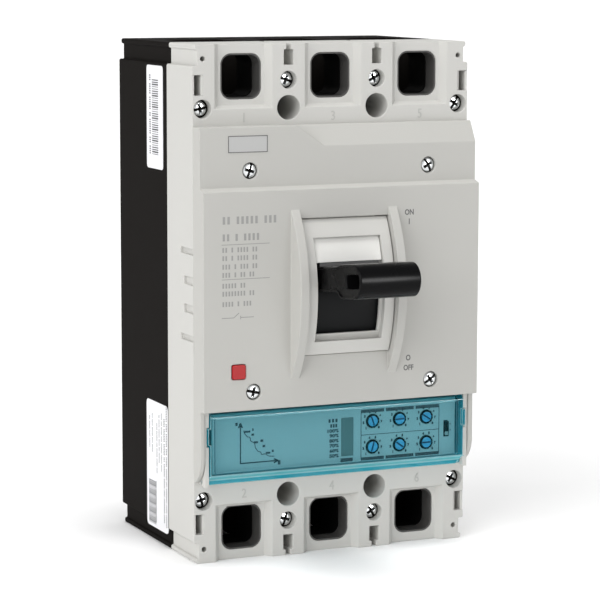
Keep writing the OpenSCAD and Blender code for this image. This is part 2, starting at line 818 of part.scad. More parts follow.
// Panel of the electronic trip unit, with seats for dials, display and socket
module trip_unit_panel() {
    top = fascia_z0 - cheek_gap;
    bottom = hinge_z + norm([hinge_d - lens_back, hinge_up]) + lens_gap;
    inner_w = lens_w - 2 * (lens_t + lens_gap);
    color([0.72, 0.74, 0.74]) difference() {
        union() {
            block([-panel_w / 2, panel_w / 2], [cover_d, cover_d + flange_t], [bottom, top]);
            block([-inner_w / 2, inner_w / 2], [cover_d, panel_d],
                [bottom, fascia_z0 - lens_t - 2 * lens_gap]);
            for (side = [-1, 1]) {
                x = side * (panel_w - trip_wall) / 2;
                across(x - trip_wall / 2, x + trip_wall / 2)
                    polygon([[cover_d, trip_z0 + wall_rise], [trip_wall_d, trip_z0],
                        [trip_wall_d, top], [cover_d, top]]);
            }
        }
        snap_tabs(lens_gap, tab_room);
        for (i = [0 : 5])
            round_bar(dial_place(i)[0], dial_place(i)[1], dial_r + dial_clear,
                panel_d + dial_proud - dial_l, panel_d + eps);
        inlay(display_x, display_w, display_h, eps);
        inlay(socket_x, socket_w, socket_h, eps);
        hinge_pins(hinge_r + axle_clear, panel_w / 2 + eps);
    }
}

// The two hinge pins of the clear cover, or the holes they turn in
module hinge_pins(r, end) {
    length = end - lens_w / 2 + hinge_root;
    for (x = [-end, end - length])
        translate([x, -hinge_d, hinge_z]) rotate([0, 90, 0]) cylinder(r = r, h = length);
}

// The snap tabs at the clear cover's sides, or with a gap the notches they lie in
module snap_tabs(gap, below) {
    z1 = fascia_z0 - tab_down;
    for (side = [-1, 1])
        mirror([side < 0 ? 1 : 0, 0, 0])
            block([lens_w / 2 - lens_t / 2, lens_w / 2 + tab_out + gap],
                [lens_d - tab_t - gap, lens_d + (gap > 0 ? eps : 0)],
                [z1 - tab_h - below, z1 + gap]);
}

// A flat piece let into the panel, or with eps the seat it lies in
module inlay(x, w, h, proud) {
    block([x - w / 2, x + w / 2], [panel_d - inlay_t, panel_d + proud],
        [display_z - h / 2, display_z + h / 2]);
}

// Side view of the clear cover's outside, and of its inside drawn in by a wall
module lens_profile() {
    top = fascia_z0 - lens_gap;
    polygon([[lens_back, top], [lens_d - top_bevel_t, top], [lens_d, top - top_bevel_h],
        [lens_d, trip_z0 + bevel_h], [lens_back, trip_z0]]);
}

module lens_hollow_profile() {
    top = fascia_z0 - lens_gap - lens_t;
    front = lens_d - lens_t;
    rise = bevel_h / (lens_d - lens_back);
    back_z = trip_z0 + lens_t * norm([1, rise]);
    polygon([[lens_back - eps, top], [front - top_bevel_t, top],
        [front, top + lens_t / 2 - top_bevel_h], [front, back_z + (front - lens_back) * rise],
        [lens_back, back_z], [lens_back - eps, back_z]]);
}

// Clear hinged cover over the dials
module trip_unit_cover() {
    color([0.37, 0.63, 0.68, 0.5]) {
        difference() {
            across(-lens_w / 2, lens_w / 2) lens_profile();
            across(-lens_w / 2 + lens_t, lens_w / 2 - lens_t) lens_hollow_profile();
        }
        snap_tabs(0, 0);
        hinge_pins(hinge_r, lens_w / 2 + hinge_l);
    }
}

module display_window() {
    color([0.29, 0.45, 0.46]) inlay(display_x, display_w, display_h, display_proud);
}

module test_socket() {
    color([0.1, 0.1, 0.12]) inlay(socket_x, socket_w, socket_h, socket_proud);
}

// A setting dial with a screwdriver slot
module dial(i) {
    x = dial_place(i)[0];
    z = dial_place(i)[1];
    front = panel_d + dial_proud;
    color([0.25, 0.63, 0.88]) difference() {
        round_bar(x, z, dial_r, front - dial_l, front);
        translate([x, -front, z]) rotate([0, dial_turn * i, 0])
            cube([dial_slot_l, 2 * dial_slot_t, dial_slot_w], center = true);
    }
}

// A plated terminal bar in its pocket, with the bolt hole
module terminal(p, s) {
    color([0.78, 0.76, 0.72]) translate([p * pole_pitch, 0, 0]) at_end(s) difference() {
        block([-terminal_w / 2, terminal_w / 2], [pocket_floor, terminal_d],
            [pocket_z, half_h - terminal_end]);
        round_bar(0, terminal_z, terminal_hole_r, pocket_floor - eps, terminal_d + eps);
    }
}

module fascia_screw(sx, sz) {
    screw(sx * fascia_screw_x, fascia_screw_z(sz), fascia_screw_face(sz), fascia_recess_l,
        fascia_shank_l);
}

base_housing();
mid_cover();
front_fascia();
handle_frame();
handle_lever();
handle_shutter();
shutter_plate();
handle_axle();
trip_button();
trip_unit_panel();
trip_unit_cover();
display_window();
test_socket();
for (i = [0 : 5])
    dial(i);
for (p = [0 : 2]) {
    terminal(p - 1, 1);
    terminal(p - 1, -1);
}
for (i = [0 : 3]) {
    sx = i % 2 == 0 ? -1 : 1;
    sz = i < 2 ? 1 : -1;
    fascia_screw(sx, sz);
    screw(sx * side_screw_x, sz * side_screw_z, cover_d, recess_l);
    screw(sx * fixing_x, sz * mid_screw_z, cover_d, recess_l);
}
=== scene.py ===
# Three-pole moulded case circuit breaker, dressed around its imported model.
# X runs to the right of someone facing the front, the front faces -Y and Z is up.
import json
import math

import bmesh
import bpy
import numpy as np
from mathutils import Matrix, Vector

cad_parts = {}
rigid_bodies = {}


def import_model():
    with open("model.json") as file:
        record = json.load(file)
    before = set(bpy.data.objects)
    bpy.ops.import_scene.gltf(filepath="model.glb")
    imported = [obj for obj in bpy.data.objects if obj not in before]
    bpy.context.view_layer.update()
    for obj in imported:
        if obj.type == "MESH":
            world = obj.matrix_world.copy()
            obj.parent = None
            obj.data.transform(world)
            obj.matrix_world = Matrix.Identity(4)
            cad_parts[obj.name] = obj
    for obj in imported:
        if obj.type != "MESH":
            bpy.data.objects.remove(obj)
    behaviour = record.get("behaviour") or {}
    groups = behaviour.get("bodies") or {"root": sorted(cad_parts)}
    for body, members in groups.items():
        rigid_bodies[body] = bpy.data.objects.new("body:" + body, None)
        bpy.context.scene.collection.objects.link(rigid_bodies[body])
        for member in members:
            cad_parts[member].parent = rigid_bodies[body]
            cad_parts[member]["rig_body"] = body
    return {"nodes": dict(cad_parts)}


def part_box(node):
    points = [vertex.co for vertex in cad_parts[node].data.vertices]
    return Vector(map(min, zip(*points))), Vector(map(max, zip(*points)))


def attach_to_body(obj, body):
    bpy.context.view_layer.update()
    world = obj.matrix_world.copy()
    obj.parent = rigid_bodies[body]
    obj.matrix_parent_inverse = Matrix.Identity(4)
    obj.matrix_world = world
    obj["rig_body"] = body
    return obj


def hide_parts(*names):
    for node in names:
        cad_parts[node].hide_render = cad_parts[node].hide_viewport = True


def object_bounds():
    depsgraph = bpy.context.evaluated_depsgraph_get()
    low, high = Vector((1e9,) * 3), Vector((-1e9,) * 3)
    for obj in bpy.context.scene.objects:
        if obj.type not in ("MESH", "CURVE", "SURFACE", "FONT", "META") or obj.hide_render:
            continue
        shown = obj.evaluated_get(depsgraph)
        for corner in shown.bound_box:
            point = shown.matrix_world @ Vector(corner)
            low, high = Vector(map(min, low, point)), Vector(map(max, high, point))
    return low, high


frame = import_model()
cad_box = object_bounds()
MM = 0.001

# Studio
# A pale floor that runs on past the view, an even sky, a broad soft key lamp at the left
# front, a soft lamp overhead that leaves no gloss, and a narrow one at the right front that
# leaves only gloss, along the handle. A long lens looks from the left and a little from above.
floor_z = cad_box[0].z
bpy.context.scene.view_settings.view_transform = "Standard"


def added(name, data):
    """A new object that shows this data, linked to the scene."""
    thing = bpy.data.objects.new(name, data)
    bpy.context.scene.collection.objects.link(thing)
    return thing


def lamp(name, towards, strength, spread, gloss=True, spreads=True):
    """A far lamp: light from one direction, softened over an angle in degrees.

    It can be left out of the glossy light, or out of the light that dull faces spread.
    """
    light = bpy.data.lights.new(name, "SUN")
    light.energy = strength
    light.angle = math.radians(spread)
    carrier = added(name, light)
    carrier.rotation_euler = Vector(towards).to_track_quat("Z", "Y").to_euler()
    carrier.visible_glossy = gloss
    carrier.visible_diffuse = spreads


lamp("key_lamp", (-0.80, -0.38, 0.50), 1.9, 55)
lamp("top_lamp", (0.05, -0.1, 1), 1.9, 22, gloss=False)
lamp("grip_lamp", (0.384, -0.904, 0.22), 2.4, 22, spreads=False)

view_from = Vector((-520, -1239, 169)) * MM
yaw, pitch, roll = (math.radians(a) for a in (23.87, -7.71, 0.11))
lens = bpy.data.cameras.new("view")
lens.lens = 150.7
lens.sensor_width = 36
lens.clip_start = 0.05
view = added("view", lens)
view.matrix_world = (
    Matrix.Translation(view_from)
    @ Matrix.Rotation(-yaw, 4, "Z")
    @ Matrix.Rotation(math.pi / 2 + pitch, 4, "X")
    @ Matrix.Rotation(roll, 4, "Z")
)
bpy.context.scene.camera = view


class Wire:
    """An output of a node. The operators + * and ** make Math nodes from wires and numbers."""

    def __init__(self, socket):
        self.socket = socket

    def node(self, kind, inputs, output=0, stops=None, **settings):
        """Adds a node: its settings first, then the values or wires of its inputs."""
        tree = self.socket.id_data
        made = tree.nodes.new("ShaderNode" + kind)
        for name, value in settings.items():
            setattr(made, name, value)
        for spot, (place, colour) in enumerate(stops or []):
            ramp = made.color_ramp.elements
            stop = ramp[spot] if spot < 2 else ramp.new(place)
            stop.position = place
            stop.color = colour
        for key, value in inputs.items():
            if isinstance(value, Wire):
                tree.links.new(value.socket, made.inputs[key])
            else:
                made.inputs[key].default_value = value
        return Wire(made.outputs[output])

    def maths(self, operation, other):
        return self.node("Math", {0: self, 1: other}, operation=operation)

    def __add__(self, other):
        return self.maths("ADD", other)

    def __mul__(self, other):
        return self.maths("MULTIPLY", other)

    def __pow__(self, power):
        return self.maths("POWER", power)

    __radd__ = __add__
    __rmul__ = __mul__

    def between(self, first, second):
        """The second colour where this wire is 1, the first where it is 0."""
        return self.node("Mix", {0: self, 6: first, 7: second}, output=2, data_type="RGBA")

    def noise(self, size, detail=2.0):
        """Grey clouds whose lumps are about this size, in metres."""
        return self.node("TexNoise", {"Vector": self, "Scale": 1 / size, "Detail": detail})


def feed(shader, socket, wire):
    """Links a wire to one socket of a shader."""
    wire.socket.id_data.links.new(wire.socket, shader.inputs[socket])


sky = bpy.data.worlds.new("studio_sky")
sky.use_nodes = True
sky_light = sky.node_tree.nodes["Background"]
upward = Wire(sky.node_tree.nodes.new("ShaderNodeTexCoord").outputs["Generated"])
upward = upward.node("SeparateXYZ", {0: upward}, output=2)
stops = [(0.0, (0.62, 0.62, 0.62, 1)), (0.35, (0.5, 0.5, 0.5, 1)), (1.0, (0.16, 0.16, 0.16, 1))]
feed(sky_light, "Color", upward.node("ValToRGB", {0: upward}, stops=stops))
bpy.context.scene.world = sky

# Base housing
# The black rear half is moulded from glass-filled polyester with a fine matt skin. It
# carries the terminals in open pockets and is screwed to its panel through four wells.


def finish(name, **plain):
    """A new material: its shader with plain values set, and a wire of its Object coordinates."""
    material = bpy.data.materials.new(name)
    material.use_nodes = True
    shader = material.node_tree.nodes["Principled BSDF"]
    for socket, value in plain.items():
        shader.inputs[socket.replace("_", " ")].default_value = value
    place = material.node_tree.nodes.new("ShaderNodeTexCoord")
    return material, shader, Wire(place.outputs["Object"])


def moulded(name, colour, roughness, grain=0.3, relief=0.02, mottle=0.05, shine=0.5):
    """Moulded plastic: an eroded grain in millimetres, with slow mottling in colour and gloss."""
    cloud_l, gloss_swing = 34, 0.06
    material, shader, place = finish(name, Specular_IOR_Level=shine)
    clouds = place.noise(cloud_l * MM, 4)
    light = tuple(min(1, c * (1 + mottle)) for c in colour) + (1,)
    dark = tuple(c * (1 - mottle) for c in colour) + (1,)
    feed(shader, "Base Color", clouds.between(dark, light))
    feed(shader, "Roughness", roughness - gloss_swing + clouds * (2 * gloss_swing))
    skin = place.noise(grain * MM, 3)
    bump = place.node("Bump", {"Height": skin, "Strength": 0.5, "Distance": relief * MM})
    feed(shader, "Normal", bump)
    return material


def rejoin(skin):
    """Joins the triangles of each flat face that a rounded rim could reach across.

    An edge inside a flat face goes if its clearance, the least distance from the edge to
    another corner of the same plane, is under a limit. The closest edges go first, and the
    edges that stay keep the faces simple enough to be filled without a fault.
    """
    flat_turn, limit = math.radians(0.4), 1.2 * MM
    planes_per_mm = 5
    bmesh.ops.dissolve_limit(skin, angle_limit=flat_turn, verts=skin.verts, edges=skin.edges)
    bmesh.ops.triangulate(skin, faces=skin.faces, ngon_method="BEAUTY")
    planes = {}
    for edge in skin.edges:
        if edge.calc_face_angle(1) < flat_turn:
            face = edge.link_faces[0]
            key = tuple(round(c, 2) for c in face.normal)
            key += (round(face.normal.dot(face.verts[0].co) / MM * planes_per_mm),)
            planes.setdefault(key, []).append(edge)
    order = []
    for edges in planes.values():
        ends = np.array([[vert.index for vert in edge.verts] for edge in edges])
        spots = {v.index: v.co[:] for e in edges for f in e.link_faces for v in f.verts}
        names, at = np.array(list(spots)), np.array(list(spots.values()))
        start = np.array([spots[i] for i in ends[:, 0]])[:, None]
        run = np.array([spots[i] for i in ends[:, 1]])[:, None] - start
        along = ((at - start) * run).sum(-1) / (run * run).sum(-1)
        gap = np.linalg.norm(start + np.clip(along, 0, 1)[..., None] * run - at, axis=-1)
        gap[(names == ends[:, :1]) | (names == ends[:, 1:])] = 1
        order += zip(gap.min(axis=1).tolist(), range(len(order), len(order) + len(edges)), edges)
    for clearance, _, edge in sorted(order):
        if clearance < limit and edge.is_valid and len(edge.link_faces) == 2:
            bmesh.utils.face_join(edge.link_faces)


def rounded(node, radius, segments=2):
    """A CAD node as one skin, its doubles merged and its flat faces rejoined, with rounded edges."""
    sharp_turn = math.radians(28)
    skin = bmesh.new()
    skin.from_mesh(frame["nodes"][node].data)
    bmesh.ops.remove_doubles(skin, verts=skin.verts, dist=0.002 * MM)
    rejoin(skin)
    weight = skin.edges.layers.float.new("bevel_weight_edge")
    for edge in skin.edges:
        edge[weight] = float(edge.calc_face_angle(0) > sharp_turn)
    mesh = bpy.data.meshes.new(node + "_skin")
    skin.to_mesh(mesh)
    skin.free()
    for face in mesh.polygons:
        face.use_smooth = True
    piece = added(node + "_dressed", mesh)
    bevel = piece.modifiers.new("edge_rounding", "BEVEL")
    bevel.limit_method = "WEIGHT"
    bevel.width = radius * MM
    bevel.segments = segments
    bevel.use_clamp_overlap = False
    bevel.loop_slide = False
    piece.modifiers.new("flat_shading", "WEIGHTED_NORMAL")
    return piece


def dress(piece, node, material):
    """Gives a piece its material, and puts it in place of a CAD node on that node's body."""
    piece.data.materials.clear()
    piece.data.materials.append(material)
    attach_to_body(piece, frame["nodes"][node]["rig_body"])
    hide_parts(node)
    return piece


base_black = moulded(
    "base_black", (0.009, 0.0078, 0.007), 0.62, grain=0.4, relief=0.03, mottle=0.15, shine=0.02
)
dress(rounded("base_housing", 0.35), "base_housing", base_black)

# Side labels
# Two white paper labels with rounded corners are glued to the left side of the base. They
# carry plain bars in place of print.


def closed(name, skin):
    """A piece from a bmesh skin, its doubles merged and its faces turned outwards."""
    bmesh.ops.remove_doubles(skin, verts=skin.verts, dist=0.0005 * MM)
    bmesh.ops.recalc_face_normals(skin, faces=skin.faces)
    mesh = bpy.data.meshes.new(name)
    skin.to_mesh(mesh)
    skin.free()
    return added(name, mesh)


def solid(name, shells, wrap=False, smooth=False):
    """Closed skins through rings of points; each shell is an array of rows x points x 3, in mm.

    Point (i, j) joins (i + 1, j) and (i, j + 1), and j runs round. Flat faces close the end rows,
    or with wrap the last row joins the first.
    """
    faces, used = [], 0
    for rings in shells:
        grid = used + np.arange(rings.shape[0] * rings.shape[1]).reshape(rings.shape[:2])
        used += grid.size
        after = np.concatenate([grid[1:], grid[:1]]) if wrap else grid[1:]
        before = grid[: len(after)]
        corners = [before, np.roll(before, -1, 1), np.roll(after, -1, 1), after]
        faces += np.stack(corners, axis=-1).reshape(-1, 4).tolist()
        if not wrap:
            faces += [grid[0].tolist(), grid[-1].tolist()]
    points = np.concatenate([rings.reshape(-1, 3) for rings in shells]) * MM
    rough = bpy.data.meshes.new(name + "_rough")
    rough.from_pydata(points.tolist(), [], faces)
    skin = bmesh.new()
    skin.from_mesh(rough)
    bpy.data.meshes.remove(rough)
    piece = closed(name, skin)
    if smooth:
        piece.data.polygons.foreach_set("use_smooth", np.ones(len(piece.data.polygons), bool))
        piece.data.set_sharp_from_angle(angle=math.radians(35))
    return piece


def attach(piece, body, material):
    """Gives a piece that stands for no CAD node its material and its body."""
    piece.data.materials.append(material)
    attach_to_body(piece, body)


def in_front(flat, depth):
    """Points (x, z) on the upright plane at this depth, in front of the rear face."""
    x, z = flat[..., 0], flat[..., 1]
    return np.stack([x, np.zeros_like(x) - depth, z], axis=-1)


def on_left(flat, out):
    """Points (depth, z) on the plane of the left side, moved out from it."""
    depth, z = flat[..., 0], flat[..., 1]
    return np.stack([cad_box[0].x / MM - out + np.zeros_like(z), -depth, z], axis=-1)


def rim(x, z, width, height, radius, steps=7):
    """A rounded rectangle: a quarter circle at each corner, its centre set in by the radius."""
    turn = (np.arange(4)[:, None] + np.linspace(0, 1, steps)) * math.pi / 2
    corner = turn[:, :1] + math.pi / 4
    across = x + np.sign(np.cos(corner)) * (width / 2 - radius) + radius * np.cos(turn)
    upright = z + np.sign(np.sin(corner)) * (height / 2 - radius) + radius * np.sin(turn)
    return np.stack([across.ravel(), upright.ravel()], axis=-1)


def strokes(name, rows, plane, face, rise=0.05):
    """Printed lines as thin bars: each row u0, v0, u1, v1, width is one box on a plane.

    A box's corners are both ends of its line, moved sideways by half the width along the line's
    direction turned by 90 degrees. It reaches as far below the face as it stands proud.
    """
    rows = np.array(rows, float)
    start, end = rows[:, :2], rows[:, 2:4]
    run = (end - start) / np.linalg.norm(end - start, axis=1, keepdims=True)
    side = np.stack([-run[:, 1], run[:, 0]], axis=1) * rows[:, 4:] / 2
    ring = np.stack([start - side, end - side, end + side, start + side], axis=1)
    bars = np.stack([plane(ring, face - rise), plane(ring, face + rise)], axis=1)
    return solid(name, list(bars))


def letter_blocks(u, v, height, words):
    """Strokes for a line of print: an upright block for each letter, and a gap after each word.

    The step from block to block and a block's width are shares of the height.
    """
    step, width = 0.66, 0.36
    lengths = np.array(words)
    place = np.arange(lengths.sum()) + np.repeat(np.arange(len(words)), lengths)
    across = u + (place + 0.5) * height * step
    blocks = np.stack([across, 0 * across + v - height / 2, across, 0 * across + v + height / 2])
    return np.concatenate([blocks, np.full((1, len(across)), height * width)]).T


def striped_field(first, last, low, step, count):
    """Strokes from the first depth to the last, one above the other, in three mixed widths.

    Stroke i is the thinnest one made wider (7 i mod 5) mod 3 times.
    """
    thinnest, wider = 0.3, 0.22
    order = np.arange(count)
    place = low + step * order
    width = thinnest + wider * (order * 7 % 5 % 3)
    return np.stack([0 * place + first, place, 0 * place + last, place, width], axis=1)


label_white = moulded("label_white", (0.80, 0.80, 0.82), 0.45, mottle=0.01, relief=0.005)
label_ink = moulded("label_ink", (0.05, 0.05, 0.055), 0.5, mottle=0.1, relief=0.004)
label_t, sunk_t = 0.12, 0.2
labels = [rim(52.5, 90.5, 23, 52, 2), rim(53.4, -88, 30.4, 66, 2.5)]
shells = [np.stack([on_left(edge, -sunk_t), on_left(edge, label_t)]) for edge in labels]
attach(solid("side_labels", shells), "housing", label_white)
fields = [striped_field(48.8, 57.4, 71.8, 1.13, 34), striped_field(41.2, 51.4, -119, 0.95, 24)]
lines = [letter_blocks(71.5, 45.8, 1.7, [4, 3, 7, 2, 6, 5, 3])]
for depth, low, height, words in (
    (66.6, -118, 1.3, [8, 5, 9, 3, 7, 6, 4, 8, 5, 9]), (63.4, -116, 1.3, [5, 9, 4, 6, 8, 3, 7, 8, 5]),
    (59.6, -90, 0.9, [6, 8, 9, 5, 7, 4, 6]), (56.2, -86, 0.9, [9, 4, 6, 8, 7, 3]),
    (53.0, -92, 0.9, [5, 7, 8, 4, 9, 6]), (51.6, -118, 1.1, [6, 5, 7, 3, 5]),
    (46.4, -82, 0.9, [7, 5, 8, 6, 4]), (42.6, -80, 0.9, [8, 6, 7, 4]),
):
    lines.append(letter_blocks(low, depth, height, words))
lines = np.concatenate(lines)[:, [1, 0, 3, 2, 4]]
rows = np.concatenate(fields + [lines])
attach(strokes("label_print", rows, on_left, label_t), "housing", label_ink)

# Middle cover
# The grey half in front of the base is one moulding too, with a window before each terminal
# bolt and recesses for the screws that hold it down. Each pole's number stands raised on it.
cover_grey = moulded("cover_grey", (0.55, 0.545, 0.52), 0.5, mottle=0.012, shine=0.25)
dress(rounded("mid_cover", 0.35), "mid_cover", cover_grey)
cover_d = 104


def lettering(name, figures, depth, rise=0.05, bold=0.0, stretch=0.84):
    """Figures as one thin closed mesh, for rows of text, x, z, height and the side x is on.

    Each text is set at the origin, scaled until its box is as high as asked, and moved so that
    x is at the box's left edge for 0, its middle for 0.5 and its right edge for 1. It is half a
    unit thick each way, so twice the rise takes it as far below the face as it stands proud.
    """
    skin = bmesh.new()
    for text, x, z, height, side in figures:
        curve = bpy.data.curves.new(name, "FONT")
        curve.body = text
        curve.resolution_u = 3
        curve.extrude = 0.5
        curve.offset = bold
        letters = added(name, curve)
        seen = letters.evaluated_get(bpy.context.evaluated_depsgraph_get())
        mesh = bpy.data.meshes.new_from_object(seen)
        flat = np.empty(len(mesh.vertices) * 3, np.float32)
        mesh.vertices.foreach_get("co", flat)
        flat = flat.reshape(-1, 3)
        low, high = flat.min(axis=0), flat.max(axis=0)
        scale = height / (high[1] - low[1])
        across = (flat[:, 0] - low[0] - side * (high[0] - low[0])) * scale * stretch + x
        upright = (flat[:, 1] - (low[1] + high[1]) / 2) * scale + z
        placed = np.stack([across, -depth - rise * 2 * flat[:, 2], upright], axis=1) * MM
        mesh.vertices.foreach_set("co", placed.astype(np.float32).ravel())
        skin.from_mesh(mesh)
        bpy.data.objects.remove(letters)
        bpy.data.curves.remove(curve)
        bpy.data.meshes.remove(mesh)
    return closed(name, skin)


poles = (-48, 0, 48)
number_h, number_z = 4.6, (92.6, -94.6)
figures = [(str(2 * i + end + 1), x, number_z[end], number_h, 0.5)
           for end in range(2) for i, x in enumerate(poles)]
number_grey = moulded("number_grey", (0.43, 0.43, 0.41), 0.5, mottle=0.02)
attach(lettering("pole_numbers", figures, cover_d, 0.25), "housing", number_grey)

# Window sleeves
# A black insulating sleeve is pressed into each terminal window, a little below its edge,
# and runs back towards the terminal bar. It narrows halfway, and behind that it is
# near-black as painted shade.
sleeve_front, sleeve_mid, sleeve_back = 99.9, 90.5, 72.0
sleeve_w, sleeve_h, sleeve_r, sleeve_t = 21.4, 22.4, 5.45, 0.7
window_z = 112.5


def sleeve(x, z):
    """A rounded tube: its outer edge from the front to the back, then its inner edge forwards.

    The inside has a step: behind the middle depth it is narrower by half the wall all round.
    """
    outer, inner, deep = (rim(x, z, sleeve_w - 2 * t, sleeve_h - 2 * t, sleeve_r - t)
                          for t in (0, sleeve_t, 1.5 * sleeve_t))
    return np.stack([in_front(outer, sleeve_front), in_front(outer, sleeve_back),
                     in_front(deep, sleeve_back), in_front(deep, sleeve_mid),
                     in_front(inner, sleeve_mid), in_front(inner, sleeve_front)])


sleeve_black = moulded("sleeve_black", (0.07, 0.068, 0.065), 0.5, mottle=0.15, shine=0.2)
painted_shade_black = moulded("painted_shade_black", (0.004, 0.004, 0.004), 0.6, mottle=0.15, shine=0.05)
shells = [sleeve(x, side * window_z) for x in poles for side in (1, -1)]
sleeves = solid("window_sleeves", shells, wrap=True, smooth=True)
attach(sleeves, "housing", sleeve_black)


def more_finish(piece, material, test):
    """Gives another material to the faces whose centres, as rows of x, y, z in mm, pass a test."""
    faces = piece.data.polygons
    chosen = np.empty(len(faces), np.int32)
    faces.foreach_get("material_index", chosen)
    centres = np.empty(len(faces) * 3, np.float32)
    faces.foreach_get("center", centres)
    chosen[test(centres.reshape(-1, 3) / MM)] = len(piece.data.materials)
    faces.foreach_set("material_index", chosen)
    piece.data.materials.append(material)


# Faces behind the middle depth get a near-black finish: painted shade deep in the window.
just_before = sleeve_mid + 0.01
more_finish(sleeves, painted_shade_black, lambda at: at[:, 1] > -just_before)

# Front fascia
# The thin front lid snaps on over the mechanism. It has the main face, an upper ledge with
# one cut corner, a crescent rib on each side of the handle and the trip unit's outer cheeks.
fascia_grey = moulded("fascia_grey", (0.48, 0.475, 0.45), 0.5, mottle=0.012, shine=0.2)
dress(rounded("front_fascia", 0.35), "front_fascia", fascia_grey)
fascia_d, ledge_d = 118, 113.5

# Front print
# The marks beside the handle and the rating lines on the left are pad-printed in grey ink.
# The rating is bars and a plain switch symbol, and the name plate above it is blank.
print_dark = moulded("print_dark", (0.09, 0.09, 0.088), 0.5, mottle=0.08, relief=0.004)
print_grey = moulded("print_grey", (0.27, 0.27, 0.26), 0.5, mottle=0.08, relief=0.004)
marks = [("ON", 35.7, 44.3, 2.9, 0.5), ("I", 35.7, 39.6, 2.9, 0.5),
         ("O", 35.7, -29.4, 3.0, 0.5), ("OFF", 35.9, -34.4, 2.9, 0.5)]
attach(lettering("handle_marks", marks, fascia_d, bold=0.03), "housing", print_dark)
rating = [letter_blocks(-65.5, z, height, words) for z, height, words in (
    (43.8, 3.7, [2, 5, 3]), (35.5, 3.4, [2, 1, 4]),
    (29.4, 2.4, [2, 1, 4, 2]), (25.4, 2.4, [2, 1, 4, 2]), (21.2, 2.4, [3, 1, 3, 2]),
    (17.2, 2.4, [3, 1, 2, 2]), (11.9, 2.4, [5, 2]), (8.0, 2.4, [8, 2]), (2.9, 2.4, [4, 1, 3]),
)]
rules = [(-65.5, 32.0, -40.2, 32.0, 0.35), (-65.5, 15.0, -40.2, 15.0, 0.35),
         (-65.5, -3.9, -59.2, -3.9, 0.4), (-59.2, -3.9, -56.4, -1.6, 0.4),
         (-55.6, -3.9, -48.6, -3.9, 0.4), (-55.6, -4.8, -55.6, -3.0, 0.4)]
attach(strokes("rating_print", np.concatenate(rating + [rules]), in_front, fascia_d),
       "housing", print_grey)
plate_grey = moulded("name_plate_grey", (0.38, 0.38, 0.375), 0.35, mottle=0.06, relief=0.01)
plate_x, plate_z, plate_w, plate_h, plate_r = -49.8, 80.3, 20.4, 7.9, 0.6
plate_face, plate_back = ledge_d + 0.12, ledge_d - 0.3
edge = rim(plate_x, plate_z, plate_w, plate_h, plate_r)
shell = np.stack([in_front(edge, plate_back), in_front(edge, plate_face)])
attach(solid("name_plate", [shell]), "housing", plate_grey)
line_w, line_in = 0.4, 0.05
left, right = plate_x - plate_w / 2, plate_x + plate_w / 2
bottom, top = plate_z - plate_h / 2 + line_in, plate_z + plate_h / 2 - line_in
frame_lines = [(left, z, right, z, line_w) for z in (top, bottom)]
frame_lines += [(x, bottom - line_w / 2, x, top + line_w / 2, line_w) for x in (left, right)]
attach(strokes("name_plate_edge", frame_lines, in_front, plate_face), "housing", print_dark)

# Handle frame
# A separate arched frame, moulded in the middle cover's grey plastic, sits between the
# fascia's two ribs and closes the slot that the handle travels in.
dress(rounded("handle_frame", 0.35), "handle_frame", cover_grey)

# Handle and shutter
# The black nylon handle turns on a steel pin. A curved shutter moves with it and keeps the
# window closed; its upper part carries a pale plate.
handle_black = moulded("handle_black", (0.0042, 0.0042, 0.0045), 0.27, grain=0.5, mottle=0.1, shine=0.08)
shutter_black = moulded("shutter_black", (0.0075, 0.008, 0.0085), 0.5, grain=0.5, mottle=0.1, shine=0.1)
plate_white = moulded("plate_white", (0.74, 0.735, 0.705), 0.45, mottle=0.012, shine=0.3)
low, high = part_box("handle_lever")
half_w = (high.x - low.x) / 2 / MM
pivot_d, pivot_z, rest_turn = 54.6, 5.8, math.radians(6.4)
stem_half, step_u, step_l, tip_u = 6.2, 88.2, 6.4, 117.5
grip_r, grip_drop = 8.4, 1.2
stem_start, line_points, tip_points = -9, 60, 50


def handle_outline(inset):
    """Side view of the handle in mm from its pivot, drawn in by an inset, round anticlockwise.

    The lower line steps down from stem to grip by a smooth step, 3t^2 - 2t^3. A half circle
    closes the tip, and the upper line rises to it. Each point moves in along the normal.
    """
    def smooth(u):
        t = np.clip((u - step_u) / step_l, 0, 1)
        return t * t * (3 - 2 * t)

    low_u = np.concatenate([np.linspace(stem_start, step_u - 1, line_points),
                            np.linspace(step_u, tip_u - grip_r, line_points)])
    lower = -stem_half - (grip_r + grip_drop - stem_half) * smooth(low_u)
    turn = np.linspace(-math.pi / 2, math.pi / 2, tip_points)[1:-1]
    top_u = low_u[::-1]
    upper = stem_half + (grip_r - grip_drop - stem_half) * smooth(top_u)
    u = np.concatenate([low_u, tip_u - grip_r + grip_r * np.cos(turn), top_u])
    v = np.concatenate([lower, grip_r * np.sin(turn) - grip_drop, upper])
    run = np.stack([np.gradient(u), np.gradient(v)])
    run /= np.linalg.norm(run, axis=0)
    return u - inset * run[1], v + inset * run[0]


def grip_slot(out):
    """The slot's edge, level with each outline point as seen from the slot's centre.

    It is the curve |u / a|^p + |v / b|^p = 1 with p = 6, moved out by this much all round.
    """
    p = 6
    u, v = handle_outline(0)
    turn = np.arctan2(v + grip_drop, u - slot_u)
    a, b = slot_l / 2 + out, slot_h / 2 + out
    reach = (np.abs(np.cos(turn) / a) ** p + np.abs(np.sin(turn) / b) ** p) ** (-1 / p)
    return slot_u + reach * np.cos(turn), reach * np.sin(turn) - grip_drop


def from_pivot(x, flat):
    """Points (u, v) of the handle at rest: turned by its tilt and moved to the pivot."""
    u, v = flat
    depth = pivot_d + u * math.cos(rest_turn) - v * math.sin(rest_turn)
    height = pivot_z + u * math.sin(rest_turn) + v * math.cos(rest_turn)
    return np.stack([0 * u + x, -depth, height], axis=-1)


